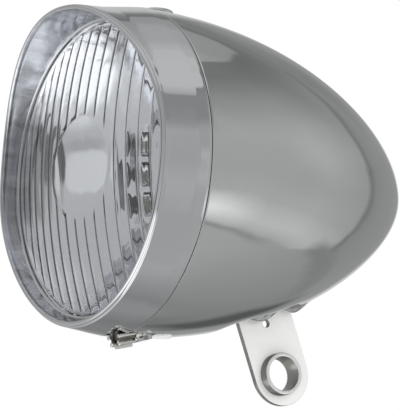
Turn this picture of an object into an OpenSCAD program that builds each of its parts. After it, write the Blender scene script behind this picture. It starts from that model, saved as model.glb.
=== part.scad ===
// Battery bicycle headlight: chromed bullet shell, hooded bezel with a fluted lens,
// and a flat steel bracket strip with a bolt bush.
// The origin is in the bore of the bracket bush. The lamp looks along -Y, and +Z is up.

/* [Shell] */
// Radius of the shell at the seam
shell_r = 33.4; // [31:0.1:36]
// Length of the shell behind the seam
shell_len = 66.2; // [62:0.1:72]
// Wall thickness of the shell and the bezel
wall = 0.8; // [0.6:0.1:1]
// Exponent of the bullet's outline: 0.5 is an ellipse, more is a sharper tail
bullet_power = 0.65; // [0.6:0.01:0.68]
// Gap between the shell and the bezel
seam_gap = 0.3; // [0.2:0.05:0.5]

/* [Bezel] */
// Radius of the bezel at its rear edge
bezel_r = 33.55; // [33:0.05:34.5]
// Radius of the bezel near its front lip
bezel_front_r = 32.4; // [32:0.05:33]
// Length of the bezel at its sides and at the bottom
bezel_len = 9.6; // [9:0.1:12]
// How much further the hood reaches at the top
hood_reach = 6.0; // [3:0.1:8]
// How much further the hood reaches half way up
side_reach = 0.5; // [0:0.1:1]
// Half the width of the front lip's section
lip_r = 0.45; // [0.35:0.05:0.6]

/* [Lens] */
// Distance of the lens seat in front of the seam
lens_seat = 7.0; // [6:0.1:8]
// Visible radius of the lens
lens_r = 30.0; // [29:0.1:30.5]
// Radius of the fluted dome
dome_r = 29.6; // [28:0.1:29.8]
// How far the dome stands forward of the seat
dome_rise = 4.6; // [3:0.1:5.5]
// Thickness of the lens between its flutes
lens_wall = 2.0; // [1.5:0.1:2.4]
// Width of one flute
flute_pitch = 3.5; // [3:0.1:5]
// Depth of one flute
flute_depth = 0.8; // [0.4:0.1:1]
// Radius of the clear window in the middle
window_r = 10.6; // [8:0.1:14]

/* [Reflector and lights] */
// Depth of the reflector bowl
bowl_depth = 11.5; // [10:0.1:12]
// Height between the light-emitting diodes
led_pitch = 6.2; // [6:0.1:6.6]
// Radius of one diode
led_r = 2.5; // [2:0.1:2.5]

/* [Thumb screw] */
// Radius of the finned head
head_r = 2.5; // [2:0.1:2.6]
// Length of the finned head
head_len = 6.2; // [5:0.1:6.4]
// Number of fins on the head
fins = 8; // [6:1:10]
// Radius of the threaded shank
shank_r = 1.1; // [0.9:0.05:1.2]
// Upward slope of the screw towards the rear, in degrees
screw_slope = 14; // [12:1:15]

/* [Switch] */
// Radius of the push button
button_r = 3.6; // [3:0.1:4]
// Height of the button's crown above the lamp's axis
button_top = 34.8; // [34.4:0.1:35]
// Distance of the button behind the seam
button_y = 7.4; // [7.2:0.1:8]

/* [Bracket] */
// Distance of the bush behind the seam
bush_back = 37.3; // [35:0.1:40]
// Distance of the bush below the lamp's axis
bush_drop = 38.5; // [37:0.1:41]
// Width of the bracket strip
strip_w = 12.8; // [11:0.1:14]
// Thickness of the bracket strip
strip_t = 1.2; // [1:0.1:1.6]
// Lean of the strip, forward towards its top, in degrees
strip_lean = 20; // [16:1:22]
// Radius of the bush's bore, for an M6 bolt
bore_r = 3.5; // [3.2:0.05:3.6]
// Outer radius of the bush
bush_r = 4.4; // [4.2:0.1:4.8]
// How far the bush reaches on the right, from the strip's middle
bush_right = 2.8; // [2:0.1:3.5]
// How far the bush reaches on the left, from the strip's middle
bush_left = 1.6; // [1:0.1:2]

/* [Batteries] */
// Radius of a size AAA cell
cell_r = 5.25; // [5:0.05:5.25]
// Length of a cell with its nub
cell_len = 44.5; // [43:0.1:44.5]
// Distance of each cell's axis from the lamp's axis
cell_ring = 6.2; // [6.1:0.1:6.3]

/* [Hidden] */

$fn = 64;
far = 60;

chrome = [0.72, 0.73, 0.73];
steel = [0.62, 0.62, 0.6];
zinc = [0.85, 0.85, 0.83];
black = [0.1, 0.1, 0.11];
copper = [0.8, 0.65, 0.35];

// Shell: the inner surface is the same curve, a wall smaller
inner_r = shell_r - wall;
inner_len = shell_len - 1.5 * wall;
mid_r = (shell_r + inner_r) / 2;
mid_len = (shell_len + inner_len) / 2;
profile_steps = 26;
edge_round = 0.35;

// Lens: the dome is part of a sphere about a point on the lamp's axis
sphere_r = (dome_r * dome_r + dome_rise * dome_rise) / (2 * dome_rise);
sphere_y = sphere_r - dome_rise - lens_seat;
back_r = sphere_r - lens_wall;
flutes = ceil(dome_r / flute_pitch);
flute_steps = 4;
flange_t = 1.4;
flange_r = bezel_front_r - 0.5;
path_r = bezel_front_r - lip_r - 0.35;
hood_z = 36;

// Stack behind the lens flange, as distances behind the seam
gasket_y = flange_t - lens_seat;
gasket_t = 0.8;
rim_y = gasket_y + gasket_t;
rim_t = 1.0;
ring_y = rim_y + rim_t;
ring_t = 0.8;
stack_r = flange_r - 0.1;

// Reflector: a parabola from the rim to a flat floor
bowl_r = 29;
bowl_y = rim_y + 0.3 + bowl_depth;
floor_r = 10.5;
floor_y = bowl_y - bowl_depth * pow(floor_r / bowl_r, 2);
bowl_wall = 1.1;

// Board and diodes
board_y = floor_y + 2.7;
board_t = 1.4;
board_r = 13;
led_len = 5.4;
board_screw_x = 9.2;

// Thumb screw, in a frame of its own along its axis
screw_z = -33.6;
lug_at = head_len / 2 + 1.2;
lug_t = 0.9;
clip_at = lug_at + lug_t + 0.15;
clip_t = 0.5;
nut_at = clip_at + clip_t + 0.35;
nut_t = 1.2;
shank_end = nut_at + nut_t + 0.6;
notch_half = 3.1;
notch_len = 6.3;

// Carrier, cells and chassis plate, as distances behind the seam
flange_y = board_y + board_t + 1.3;
plate_t = 1.2;
chassis_y = flange_y + plate_t;
cells_y = chassis_y + 0.9;
tail_y = cells_y + cell_len + 0.5;
carrier_r = 9.8;
carrier_flange_r = 19;
carrier_screw_ring = 16;

// Switch
switch_top = 27.4;
switch_h = 5;
button_flange_z = 30.6;
button_flange_t = 0.8;
button_flange_r = 4.4;
plunger_r = 1.5;

// Bracket
strip_inside = 25;
fixing_holes = [16.4, 21.8];
lip_h = 0.6;
slot_half = 1.3;

// Radius of a bullet of a given mouth radius and length, at a distance behind the seam
function bullet(r, len, s) = r * pow(max(0, 1 - pow(s / len, 2)), bullet_power);
// Points of that bullet's outline, closer together towards the tail
function outline(r, len, from) = [
    for (i = [0 : profile_steps])
        let (s = from + (len - from) * sin(90 * i / profile_steps)) [bullet(r, len, s), s]
];
// Front edge of the hood seen from the side, moved back by an offset, from the top down
function hood_line(back) = [
    for (i = [18 : -1 : -18])
        let (z = hood_z * i / 18, side = side_reach * exp(-pow(z / 13, 2)))
        [back - bezel_len - side - hood_reach * pow(max(0, z) / path_r, 2), z]
];
function swap(points) = [for (i = [len(points) - 1 : -1 : 0]) points[i]];

// Places children from the lamp's own frame: the seam's centre is the zero point
module lamp() translate([0, -bush_back, bush_drop]) children();
// Turns children that stand along Z so that they lie along Y, towards the rear
module along_y() rotate([-90, 0, 0]) children();
// Extrudes a profile drawn in Y and Z, to both sides of the lamp
module along_x() rotate([90, 0, 90]) linear_extrude(2 * far, center = true) children();
module rod(r, y, len, x = 0, z = 0) translate([x, y, z]) along_y() cylinder(r = r, h = len);
module turned(points, fn = 128) along_y() rotate_extrude($fn = fn) polygon(points);
module ring(r_in, r_out, y, len) {
    along_y() translate([0, 0, y]) difference() {
        cylinder(r = r_out, h = len, $fn = 128);
        translate([0, 0, -1]) cylinder(r = r_in, h = len + 2, $fn = 128);
    }
}
module box(x, y, z) translate([x[0], y[0], z[0]]) cube([x[1] - x[0], y[1] - y[0], z[1] - z[0]]);
// Frame of the thumb screw: its axis is local Z, which runs up towards the rear
module along_screw() translate([0, 0, screw_z]) rotate([screw_slope - 90, 0, 0]) children();
// Frame of the bracket strip: its length is local Z, up from the bush
module along_strip() rotate([strip_lean, 0, 0]) children();

// Solid bullet used to cut and trim pieces to the shell
module bullet_solid(r, len, from = 0) turned(concat([[0, from]], outline(r, len, from)));

// Upright slot shape with round ends, along the strip
module slot_prism(half_w, half_l, z0, z1) {
    translate([0, 0, z0]) linear_extrude(z1 - z0) union() {
        translate([-half_w, half_w - half_l]) square([2 * half_w, 2 * (half_l - half_w)]);
        for (s = [-1, 1]) translate([0, s * (half_l - half_w)]) circle(half_w);
    }
}

module shell() color(chrome) lamp() difference() {
    union() {
        // Outer skin with a small round at the seam
        turned(concat(
            [[shell_r - edge_round, seam_gap / 2]],
            [[shell_r - edge_round * 0.3, seam_gap / 2 + edge_round * 0.3]],
            outline(shell_r, shell_len, seam_gap / 2 + edge_round),
            swap(outline(inner_r, inner_len, seam_gap / 2))
        ));
        // Pressed lips round the bracket slot
        intersection() {
            difference() {
                bullet_solid(shell_r + lip_h, shell_len + lip_h, 10);
                bullet_solid(mid_r, mid_len, 0);
            }
            translate([0, bush_back, -bush_drop]) along_strip()
                translate([0, -0.4, 0]) slot_prism(slot_half + 1.5, 13.5, 5, 20);
        }
        // Pressed ridge over the end of the screw
        intersection() {
            translate([0, 7.6, 1.55 - shell_r]) rotate([1.5 - 90, 0, 0]) union() {
                cylinder(r = 2.0, h = 3.6);
                translate([0, 0, 3.6]) sphere(2.0);
            }
            difference() {
                bullet_solid(shell_r + 1, shell_len, 5);
                bullet_solid(mid_r, mid_len, 0);
            }
        }
    }
    // Slot for the bracket strip
    translate([0, bush_back, -bush_drop]) along_strip()
        slot_prism(slot_half, strip_w / 2 + 1.6, 0, 22);
    // Notch for the thumb screw and its lug, open towards the bezel
    box([-notch_half, notch_half], [-1, notch_len], [-far, -28]);
    // Room for the screw's end inside the ridge
    along_screw() translate([0, 0, 3]) cylinder(r = shank_r + 0.45, h = shank_end - 2.6);
    // Hole for the push button
    translate([0, button_y, 20]) cylinder(r = button_r + 0.25, h = 20);
}

module bezel() color(chrome) lamp() difference() {
    union() {
        difference() {
            union() {
                // Tapered skin, from the seam to beyond the tip of the hood
                turned([
                    [bezel_r - edge_round, -seam_gap / 2], [bezel_r, -seam_gap / 2 - edge_round],
                    [bezel_r - 0.25, -3], [bezel_r - 0.6, -6], [bezel_front_r + 0.15, -bezel_len],
                    [bezel_front_r - 0.1, -bezel_len - hood_reach - 1],
                    [bezel_front_r - 0.1 - wall, -bezel_len - hood_reach - 1],
                    [bezel_front_r + 0.15 - wall, -bezel_len], [flange_r, -lens_seat],
                    [flange_r, ring_y], [stack_r + 0.4, ring_y + ring_t],
                    [bezel_r - wall, -2], [bezel_r - wall, -seam_gap / 2]
                ]);
                // Seat that the lens rests against, sloped in front
                turned([
                    [lens_r + 0.1, -lens_seat], [lens_r + 0.1, -lens_seat - 0.5],
                    [flange_r - 0.1, -lens_seat - 1.6], [flange_r + 0.3, -lens_seat - 1.6],
                    [flange_r + 0.3, -lens_seat]
                ]);
            }
            // Cut to the hood's front edge
            along_x() polygon(concat([[-far, hood_z]], hood_line(0), [[-far, -hood_z]]));
        }
        lip();
    }
    // Notch that the screw's head sits in
    along_screw() translate([0, 0, -head_len / 2 - 0.4]) cylinder(r = head_r + 0.4, h = head_len + 5);
}

// Lip along the hood's edge, turned in towards the lens
module lip() intersection() {
    ring(path_r - lip_r, path_r + lip_r, -bezel_len - hood_reach - 2, far);
    along_x() polygon(concat(hood_line(-lip_r), swap(hood_line(lip_r))));
}

// Steel lug inside the bezel that carries the thumb screw behind the seam
module bezel_lug() color(steel) lamp() difference() {
    union() {
        // Foot against the bezel's wall
        intersection() {
            ring(bezel_r - wall - 0.75, bezel_r - wall - 0.05, -2, 1.4);
            box([-9, 9], [-3, 0], [-far, -29.3]);
        }
        // Web that bridges the notch
        intersection() {
            rod(bezel_r - wall - 0.4, -2, 0.9);
            box([-9, 9], [-3, 0], [-far, -29.3]);
        }
        box([-2.6, 2.6], [-2, 4.2], [-30.2, -29.3]);
        // Leg across the screw
        intersection() {
            along_screw() translate([-2.6, -5.5, lug_at]) cube([5.2, 7.3, lug_t]);
            box([-5, 5], [-1, 8], [-far, -29.3]);
        }
    }
    along_screw() translate([0, 0, -head_len / 2 - 0.4])
        cylinder(r = head_r + 0.45, h = head_len + 0.75);
    along_screw() cylinder(r = shank_r + 0.06, h = 10);
}

// Steel tongue at the top of the bezel, which hooks behind the catch
module top_hook() color(steel) lamp() {
    intersection() {
        union() {
            ring(bezel_r - wall - 0.75, bezel_r - wall - 0.05, -2, 1.4);
            rod(bezel_r - wall - 0.4, -2, 0.8);
        }
        box([-4, 4], [-3, 0], [30.4, far]);
    }
    box([-3, 3], [-2, 2.5], [30.4, 30.9]);
    box([-3, 3], [2, 2.5], [30.4, 31.6]);
}

// Strip inside the top of the shell, with a lip that the tongue hooks behind
module hook_catch() color(steel) lamp() {
    difference() {
        intersection() {
            bullet_solid(inner_r - 0.05, inner_len, 0);
            box([-4, 4], [0.4, 2.6], [31.2, 36]);
        }
        box([-5, 5], [0.9, 3], [30, 31.75]);
    }
}

// Domed lens with upright flutes on its back and a clear round window
module lens() color([0.85, 0.92, 0.96, 0.45]) lamp() union() {
    intersection() {
        translate([0, sphere_y, 0]) sphere(sphere_r, $fn = 160);
        union() {
            intersection() {
                translate([0, sphere_y, 0]) flute_sweep();
                rod(dome_r, -20, 20.2 + gasket_y, $fn = 128);
            }
            difference() {
                rod(window_r, -20, 20, $fn = 96);
                translate([0, sphere_y, 0]) sphere(back_r, $fn = 160);
            }
        }
    }
    ring(dome_r - 0.6, flange_r - 0.05, -lens_seat, flange_t);
}

// The fluted section, turned about the crosswise axis through the sphere's centre
module flute_sweep() {
    half_turn = 20;
    edge = flutes * flute_pitch + flute_pitch / 2;
    back = [for (k = [-flutes : flutes], j = [0 : flute_steps - 1])
        let (u = j / flute_steps - 0.5, x = (k + u) * flute_pitch,
            depth = flute_depth * (1 - 4 * u * u))
        [sqrt(back_r * back_r - x * x) - depth, x]];
    rotate([-90, 0, 0]) rotate([0, 90, 0]) rotate([0, 0, -half_turn])
        rotate_extrude(angle = 2 * half_turn, $fn = 360)
            polygon(concat(back, [[sphere_r + 1, edge], [sphere_r + 1, -edge]]));
}

module lens_gasket() color(black) lamp() ring(lens_r + 0.4, stack_r, gasket_y, gasket_t);

// Metallised bowl with three holes for the diodes
module reflector() color([0.8, 0.81, 0.82]) lamp() difference() {
    bowl = [for (i = [0 : 10])
        let (r = floor_r + (bowl_r - floor_r) * i / 10) [r, bowl_y - bowl_depth * pow(r / bowl_r, 2)]];
    union() {
        turned(concat(
            [[0, floor_y]], bowl,
            [[stack_r, rim_y], [stack_r, rim_y + rim_t], [bowl_r + 0.9, rim_y + rim_t]],
            [for (i = [10 : -1 : 0]) [bowl[i][0] + 0.4, bowl[i][1] + bowl_wall + 0.3]],
            [[0, floor_y + bowl_wall]]
        ));
        // Posts for the board's screws
        for (s = [-1, 1]) rod(2.2, floor_y + 0.5, board_y - floor_y - 0.5, x = s * board_screw_x);
    }
    for (k = [-1 : 1]) rod(led_r + 0.3, floor_y - 5, 10, z = k * led_pitch);
    for (s = [-1, 1]) rod(0.95, floor_y + 0.8, 5, x = s * board_screw_x);
}

// Open snap ring that holds the reflector, with its gap over the thumb screw
module retaining_ring() color(steel) lamp() difference() {
    ring(flange_r - 1.5, flange_r - 0.15, ring_y, ring_t);
    box([-6, 6], [-10, 10], [-far, 0]);
}

module led_board() color([0.16, 0.36, 0.2]) lamp() difference() {
    rod(board_r, board_y, board_t, $fn = 96);
    for (s = [-1, 1]) rod(0.95, board_y - 1, 5, x = s * board_screw_x);
}

// Round-nosed diode with a collar at its base
module led(k) color([0.95, 0.95, 0.9, 0.8]) lamp() translate([0, board_y, k * led_pitch]) {
    rotate([90, 0, 0]) rotate_extrude($fn = 48) polygon(concat(
        [[0, 0], [led_r + 0.3, 0], [led_r + 0.3, 0.9], [led_r, 0.9]],
        [for (i = [0 : 8]) [led_r * cos(90 * i / 8), led_len - led_r + led_r * sin(90 * i / 8)]]
    ));
}

module board_screws() color(steel) lamp() for (s = [-1, 1]) {
    rod(0.9, board_y - 1.5, board_t + 1.5, x = s * board_screw_x);
    rod(1.7, board_y + board_t, 0.8, x = s * board_screw_x);
}

// Leaf contacts that press on the pads of the battery carrier
module board_contacts() color(copper) lamp() for (s = [-1, 1]) {
    y0 = board_y + board_t;
    translate([0, 0, s * 5.5]) rotate([90, 0, 90]) linear_extrude(2.4, center = true)
        polygon([[y0, -2], [y0 + 0.3, -2], [y0 + 0.3, -0.6], [y0 + 1, 1.2], [y0 + 0.7, 1.4], [y0, -0.4]]);
}

module resistor() color([0.75, 0.65, 0.5]) lamp() {
    y0 = board_y + board_t;
    box([-3.6, -0.4], [y0, y0 + 0.5], [7, 8.6]);
    for (x = [-3.6, -0.9]) box([x, x + 0.5], [y0, y0 + 0.6], [6.95, 8.65]);
}

// Thumb screw with a finned, hollow-fronted head
module thumb_screw() color(zinc) lamp() along_screw() {
    difference() {
        union() {
            translate([0, 0, -head_len / 2 + 0.8]) cylinder(r = head_r - 0.75, h = head_len - 0.8);
            for (i = [0 : fins - 1]) rotate([0, 0, 360 * i / fins])
                translate([head_r - 1.1, -0.42, -head_len / 2]) cube([1.1, 0.84, head_len]);
            translate([0, 0, head_len / 2]) cylinder(r = head_r - 0.9, h = 0.5);
            translate([0, 0, head_len / 2 + 0.5]) cylinder(r = head_r - 0.7, h = 0.55);
        }
        translate([0, 0, -head_len / 2 - 1]) cylinder(r = head_r - 1.3, h = 3);
    }
    translate([0, 0, 1]) cylinder(r = shank_r, h = shank_end - 1.4);
    translate([0, 0, shank_end - 0.4]) cylinder(r1 = shank_r, r2 = shank_r - 0.4, h = 0.4);
}

module screw_clip() color(steel) lamp() along_screw() translate([0, 0, clip_at]) difference() {
    cylinder(r = shank_r + 0.7, h = clip_t);
    translate([0, 0, -1]) cylinder(r = shank_r, h = 3);
}

// Nut block fixed inside the shell behind the notch
module captive_nut() color(steel) lamp() difference() {
    intersection() {
        along_screw() translate([-3.4, -5.5, nut_at]) cube([6.8, 8, nut_t]);
        bullet_solid(inner_r - 0.05, inner_len, 0);
    }
    along_screw() cylinder(r = shank_r + 0.4, h = 14);
}

// Steel plate across the shell that holds the carrier
module chassis_plate() color(steel) lamp() difference() {
    intersection() {
        rod(inner_r, chassis_y, 1, $fn = 128);
        bullet_solid(inner_r - 0.05, inner_len, 0);
    }
    rod(cell_ring + cell_r + 0.75, 0, 30, $fn = 96);
    for (a = [30 : 120 : 270]) rotate([0, -a, 0]) rod(1.3, 0, 30, x = carrier_screw_ring);
    // Lightening holes
    for (a = [0 : 60 : 300]) rotate([0, -a, 0]) rod(4.2, 0, 30, x = 25, $fn = 48);
}

// Moulded carrier: a flange, three ribs between the cells, and an end wall
module battery_carrier() color(black) lamp() difference() {
    union() {
        rod(carrier_flange_r, flange_y, plate_t, $fn = 96);
        for (a = [30 : 120 : 270]) rotate([0, -a, 0])
            box([carrier_r - 2.5, carrier_r - 0.3], [flange_y + 0.5, tail_y + 0.5], [-0.8, 0.8]);
        rod(carrier_r, tail_y, 1, $fn = 96);
        // Arm that holds the switch
        box([-6, 6], [flange_y, chassis_y], [10, switch_top]);
    }
    for (a = [30 : 120 : 270]) rotate([0, -a, 0]) rod(1.3, 0, 30, x = carrier_screw_ring);
}

// One cell, at an angle about the lamp's axis
module cell(a) lamp() rotate([0, -a, 0]) {
    color([0.25, 0.3, 0.4]) rod(cell_r, cells_y, cell_len - 1, x = cell_ring);
    color(zinc) rod(1.9, cells_y + cell_len - 1, 1, x = cell_ring);
}

// Conical springs at the cells' flat ends
module contact_springs() color(steel) lamp() for (a = [90 : 120 : 330]) rotate([0, -a, 0])
    translate([cell_ring, chassis_y + 0.12, 0]) along_y() coil(3.2, 1.4, 0.66, 0.12, 2.5, 12, 5);

// Wire wound from one radius to another over a height
module coil(r0, r1, height, wire, turns, steps, sides) {
    n = round(turns * steps);
    points = [for (i = [0 : n], j = [0 : sides - 1])
        let (a = 360 * i / steps, b = 360 * j / sides, r = r0 + (r1 - r0) * i / n + wire * cos(b))
        [r * cos(a), r * sin(a), height * i / n + wire * sin(b)]];
    sides_faces = [for (i = [0 : n - 1], j = [0 : sides - 1])
        let (m = (j + 1) % sides)
        each [
            [i * sides + j, (i + 1) * sides + j, (i + 1) * sides + m],
            [i * sides + j, (i + 1) * sides + m, i * sides + m]
        ]];
    caps = [[for (j = [0 : sides - 1]) j], [for (j = [sides - 1 : -1 : 0]) n * sides + j]];
    polyhedron(points, concat(sides_faces, caps));
}

// Plates at the nubs, and the two pads in front that the board's leaves press on
module contact_plates() color(copper) lamp() {
    for (a = [90 : 120 : 330]) rotate([0, -a, 0]) rod(3, tail_y - 0.45, 0.4, x = cell_ring);
    for (s = [-1, 1]) box([-2, 2], [flange_y - 0.3, flange_y], [s * 5.5 - 1.6, s * 5.5 + 2.4]);
}

module carrier_screws() color(steel) lamp() for (a = [30 : 120 : 270]) rotate([0, -a, 0]) {
    rod(1.2, flange_y, 5, x = carrier_screw_ring);
    rod(2.2, flange_y - 1.2, 1.2, x = carrier_screw_ring);
}

module switch_body() color(black) lamp() difference() {
    box([-5, 5], [button_y - 3.4, flange_y], [switch_top - switch_h, switch_top]);
    translate([0, button_y, switch_top - 3.4]) cylinder(r = plunger_r + 0.1, h = 5);
}

module switch_spring() color(steel) lamp() translate([0, button_y, switch_top + 0.25])
    coil(2.4, 2.4, button_flange_z - switch_top - 0.5, 0.22, 3.5, 14, 6);

// Push button with a domed crown, a flange under the shell and a plunger
module switch_button() color(chrome) lamp() translate([0, button_y, 0]) {
    crown = 0.9;
    rotate_extrude($fn = 64) polygon(concat(
        [[0, switch_top - 1.6], [plunger_r, switch_top - 1.6], [plunger_r, button_flange_z],
        [button_flange_r, button_flange_z], [button_flange_r, button_flange_z + button_flange_t],
        [button_r, button_flange_z + button_flange_t]],
        [for (i = [0 : 8]) [button_r * cos(90 * i / 8), button_top - crown * (1 - sin(90 * i / 8))]]
    ));
}

// Flat steel strip with a round end, a bush hole, a spare hole and two fixing holes
module bracket() color(zinc) along_strip() difference() {
    rotate([90, 0, 90]) linear_extrude(strip_t, center = true) difference() {
        union() {
            circle(strip_w / 2, $fn = 96);
            translate([-strip_w / 2, 0]) square([strip_w, strip_inside - 2]);
            translate([2 - strip_w / 2, 0]) square([strip_w - 4, strip_inside]);
            for (s = [-1, 1]) translate([s * (strip_w / 2 - 2), strip_inside - 2]) circle(2);
        }
        circle(bush_r - 0.4, $fn = 64);
        translate([0.7, 10.8]) circle(0.8, $fn = 32);
        for (d = fixing_holes) translate([0, d]) circle(1.6, $fn = 32);
    }
}

// Tubular bush with a rolled collar on both faces of the strip
module bracket_bush() color(zinc) rotate([0, 90, 0]) rotate_extrude($fn = 96) polygon([
    [bore_r, -bush_left + 0.3], [bore_r + 0.3, -bush_left], [bush_r - 0.2, -bush_left],
    [bush_r, -bush_left + 0.2], [bush_r, -strip_t / 2], [bush_r - 0.4, -strip_t / 2],
    [bush_r - 0.4, strip_t / 2], [bush_r, strip_t / 2], [bush_r, bush_right - 0.3],
    [bush_r - 0.3, bush_right], [bore_r + 0.3, bush_right], [bore_r, bush_right - 0.3]
]);

// Angle plate inside the shell that the strip is screwed to
module bracket_saddle() color(steel) difference() {
    lamp() intersection() {
        bullet_solid(inner_r - 0.05, inner_len, 0);
        translate([0, bush_back, -bush_drop]) along_strip()
            box([strip_t / 2, 10], [-6, 6], [5, 24.5]);
        union() {
            translate([0, bush_back, -bush_drop]) along_strip()
                box([0, strip_t / 2 + 1], [-7, 7], [0, 30]);
            difference() {
                bullet_solid(shell_r, shell_len, 0);
                bullet_solid(inner_r - 1.1, inner_len - 1, 0);
            }
        }
    }
    for (d = fixing_holes) along_strip() translate([-10, 0, d]) rotate([0, 90, 0])
        cylinder(r = 1.6, h = 20, $fn = 32);
}

module bracket_screws() color(steel) for (d = fixing_holes)
    along_strip() translate([0, 0, d]) rotate([0, 90, 0]) {
        translate([0, 0, -strip_t / 2]) cylinder(r = 1.5, h = 5.2, $fn = 32);
        translate([0, 0, -strip_t / 2 - 1.4]) cylinder(r = 2.2, h = 1.4, $fn = 48);
    }

module bracket_nuts() color(zinc) for (d = fixing_holes)
    along_strip() translate([strip_t / 2 + 1, 0, d]) rotate([0, 90, 0]) difference() {
        cylinder(r = 2.4, h = 1.8, $fn = 6);
        translate([0, 0, -1]) cylinder(r = 1.5, h = 4, $fn = 32);
    }

shell();
bezel();
bezel_lug();
top_hook();
hook_catch();
lens();
lens_gasket();
reflector();
retaining_ring();
led_board();
led(1);  // led_top
led(0);  // led_middle
led(-1);  // led_bottom
board_screws();
board_contacts();
resistor();
thumb_screw();
screw_clip();
captive_nut();
chassis_plate();
battery_carrier();
cell(90);  // battery_top
cell(210);  // battery_left
cell(330);  // battery_right
contact_springs();
contact_plates();
carrier_screws();
switch_body();
switch_spring();
switch_button();
bracket();
bracket_bush();
bracket_saddle();
bracket_screws();
bracket_nuts();
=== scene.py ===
import math

import bmesh
import bpy
import numpy as np
from mathutils import Matrix, Vector


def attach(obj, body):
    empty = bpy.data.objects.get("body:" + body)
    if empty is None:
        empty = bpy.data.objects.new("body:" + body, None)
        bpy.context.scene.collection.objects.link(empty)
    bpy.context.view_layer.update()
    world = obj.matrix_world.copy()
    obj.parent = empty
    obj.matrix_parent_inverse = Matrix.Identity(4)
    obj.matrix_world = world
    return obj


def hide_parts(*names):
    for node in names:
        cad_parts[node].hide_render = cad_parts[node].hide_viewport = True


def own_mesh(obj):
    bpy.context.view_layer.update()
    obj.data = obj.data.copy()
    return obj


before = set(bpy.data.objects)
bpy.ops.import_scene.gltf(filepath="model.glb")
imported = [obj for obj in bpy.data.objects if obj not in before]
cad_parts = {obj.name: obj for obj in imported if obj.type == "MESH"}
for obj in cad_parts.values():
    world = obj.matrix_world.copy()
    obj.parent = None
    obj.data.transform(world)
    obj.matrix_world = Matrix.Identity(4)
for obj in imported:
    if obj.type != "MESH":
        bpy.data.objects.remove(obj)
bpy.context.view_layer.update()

# Sizes are in millimetres and angles in degrees, in the lamp's own frame: the seam's centre is the
# zero point, the lamp shines along -Y and +Z is up. row() takes them to metres in the packed
# model's frame, whose zero point is the centre of the bracket's bush.
MM = 0.001
BUSH_BACK = 37.3
BUSH_DROP = 38.5
# Turned outlines start and end this near their axis, which leaves a pinhole too small to see
ON_AXIS = 0.001
NEAR_AXIS = 0.02
# Edges that turn by more than this are shaded sharp
SHARP = 35

# Shell, a bullet whose radius is SHELL_R * (1 - (y / SHELL_LEN) ** 2) ** SHELL_POWER
SHELL_R = 33.4
SHELL_LEN = 66.2
SHELL_POWER = 0.65
WALL = 0.8
INNER_LEN = SHELL_LEN - 1.5 * WALL
# Half of the gap between shell and bezel
SEAM = 0.07
# The shell's mesh is finer near the bottom, from FINE_FROM degrees off the top, and along Y in
# stretches (start, end, steps). Its tail's steps go by an angle.
FINE_FROM = 158
COARSE_TURNS, FINE_TURNS = 100, 74
STRETCHES = [(0.5, 5.5, 8), (5.5, 14.5, 34), (14.5, 19, 6), (19, 47, 94)]
TAIL_ANGLES = np.linspace(45.5, 89.6, 46)
INNER_ANGLES = np.linspace(89, 0.2, 60)
# Pressed forms lie where the cosine of the angle off the top is below this
LOW_COS = -0.8

# Slot for the bracket, and what is pressed round it as lobes (height, middle along Y, half length)
SLOT_HALF_W = 1.3
SLOT_HALF_LEN = 6.7
DENTS = [(1.3, 27.5, 7.0), (1.1, 34.5, 6.5), (0.3, 37.0, 2.4)]
DENT_HALF_W = 6.3
SLOT_LIPS = [(1.3, 32.4, 4.8), (0.95, 40.0, 4.2)]
SLOT_LIP_X = 2.8
SLOT_LIP_W = 0.7

# Ridge behind the thumb screw, a rod partly sunk in the skin with a round end at the back
RIDGE_X = 0.6
RIDGE_R = 0.75
RIDGE_FRONT = 6.35
RIDGE_BACK = 10.6
RIDGE_DEPTH = 0.5
RIDGE_RISE = 0.06
RIDGE_RISE_FROM = 7.6
RIDGE_BLEND = 0.12

# Bezel: outer radius by the distance in front of the seam, the hood, and the lip on its edge
BEZEL_R = 33.55
BEZEL_FRONT_R = 32.4
BEZEL_LEN = 9.6
BEZEL_SKIN = [(0.5, BEZEL_R), (3, BEZEL_R - 0.25), (6, BEZEL_R - 0.6),
              (BEZEL_LEN, BEZEL_FRONT_R + 0.15), (17, BEZEL_FRONT_R - 0.1)]
BEZEL_TURNS = 360
SKIN_START = -0.4
HOOD = 6.0
# The edge also stands forward by BULGE at the sides, mostly BULGE_DROP below the middle
BULGE = 0.75
BULGE_DROP = 5
BULGE_SPREAD = 16
LIP_PATH_R = 31.75
LIP_R = 0.48
# The outer skin ends this far behind the lip's middle, in a round edge
SKIN_BACK = 0.4
SKIN_ROUND = 0.2
# The mouth is narrower than it is high by this share, growing from MOUTH_FROM to the front
MOUTH_SHARE = 0.019
MOUTH_FROM = 3

# Lens: a dome on a seat in the bezel, its flutes and its plain window
SEAT = 7.0
SEAT_HOLE_R = 30.08
SEAT_ROUND = 0.35
DOME_R = 29.6
DOME_RISE = 4.6
LENS_WALL = 2.0
LENS_RIM_R = 30.05
FLUTE = 3.5
FLUTES_EACH_SIDE = 9
FLUTE_DEPTH = 0.17
FLUTE_POWER = 4.0
WINDOW_R = 10.6
WINDOW_FADE = 0.7
EDGE_FADE = 0.6
# The back of the dome is flat near its rim, at this Y, and the flutes fade towards it
BACK_FLAT = -5.12
SPHERE_R = (DOME_R ** 2 + DOME_RISE ** 2) / (2 * DOME_RISE)
SPHERE_Y = SPHERE_R - DOME_RISE - SEAT
STEPS_PER_FLUTE = 16
LENS_ROWS = 150
ROW_EASE = 0.92

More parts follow.
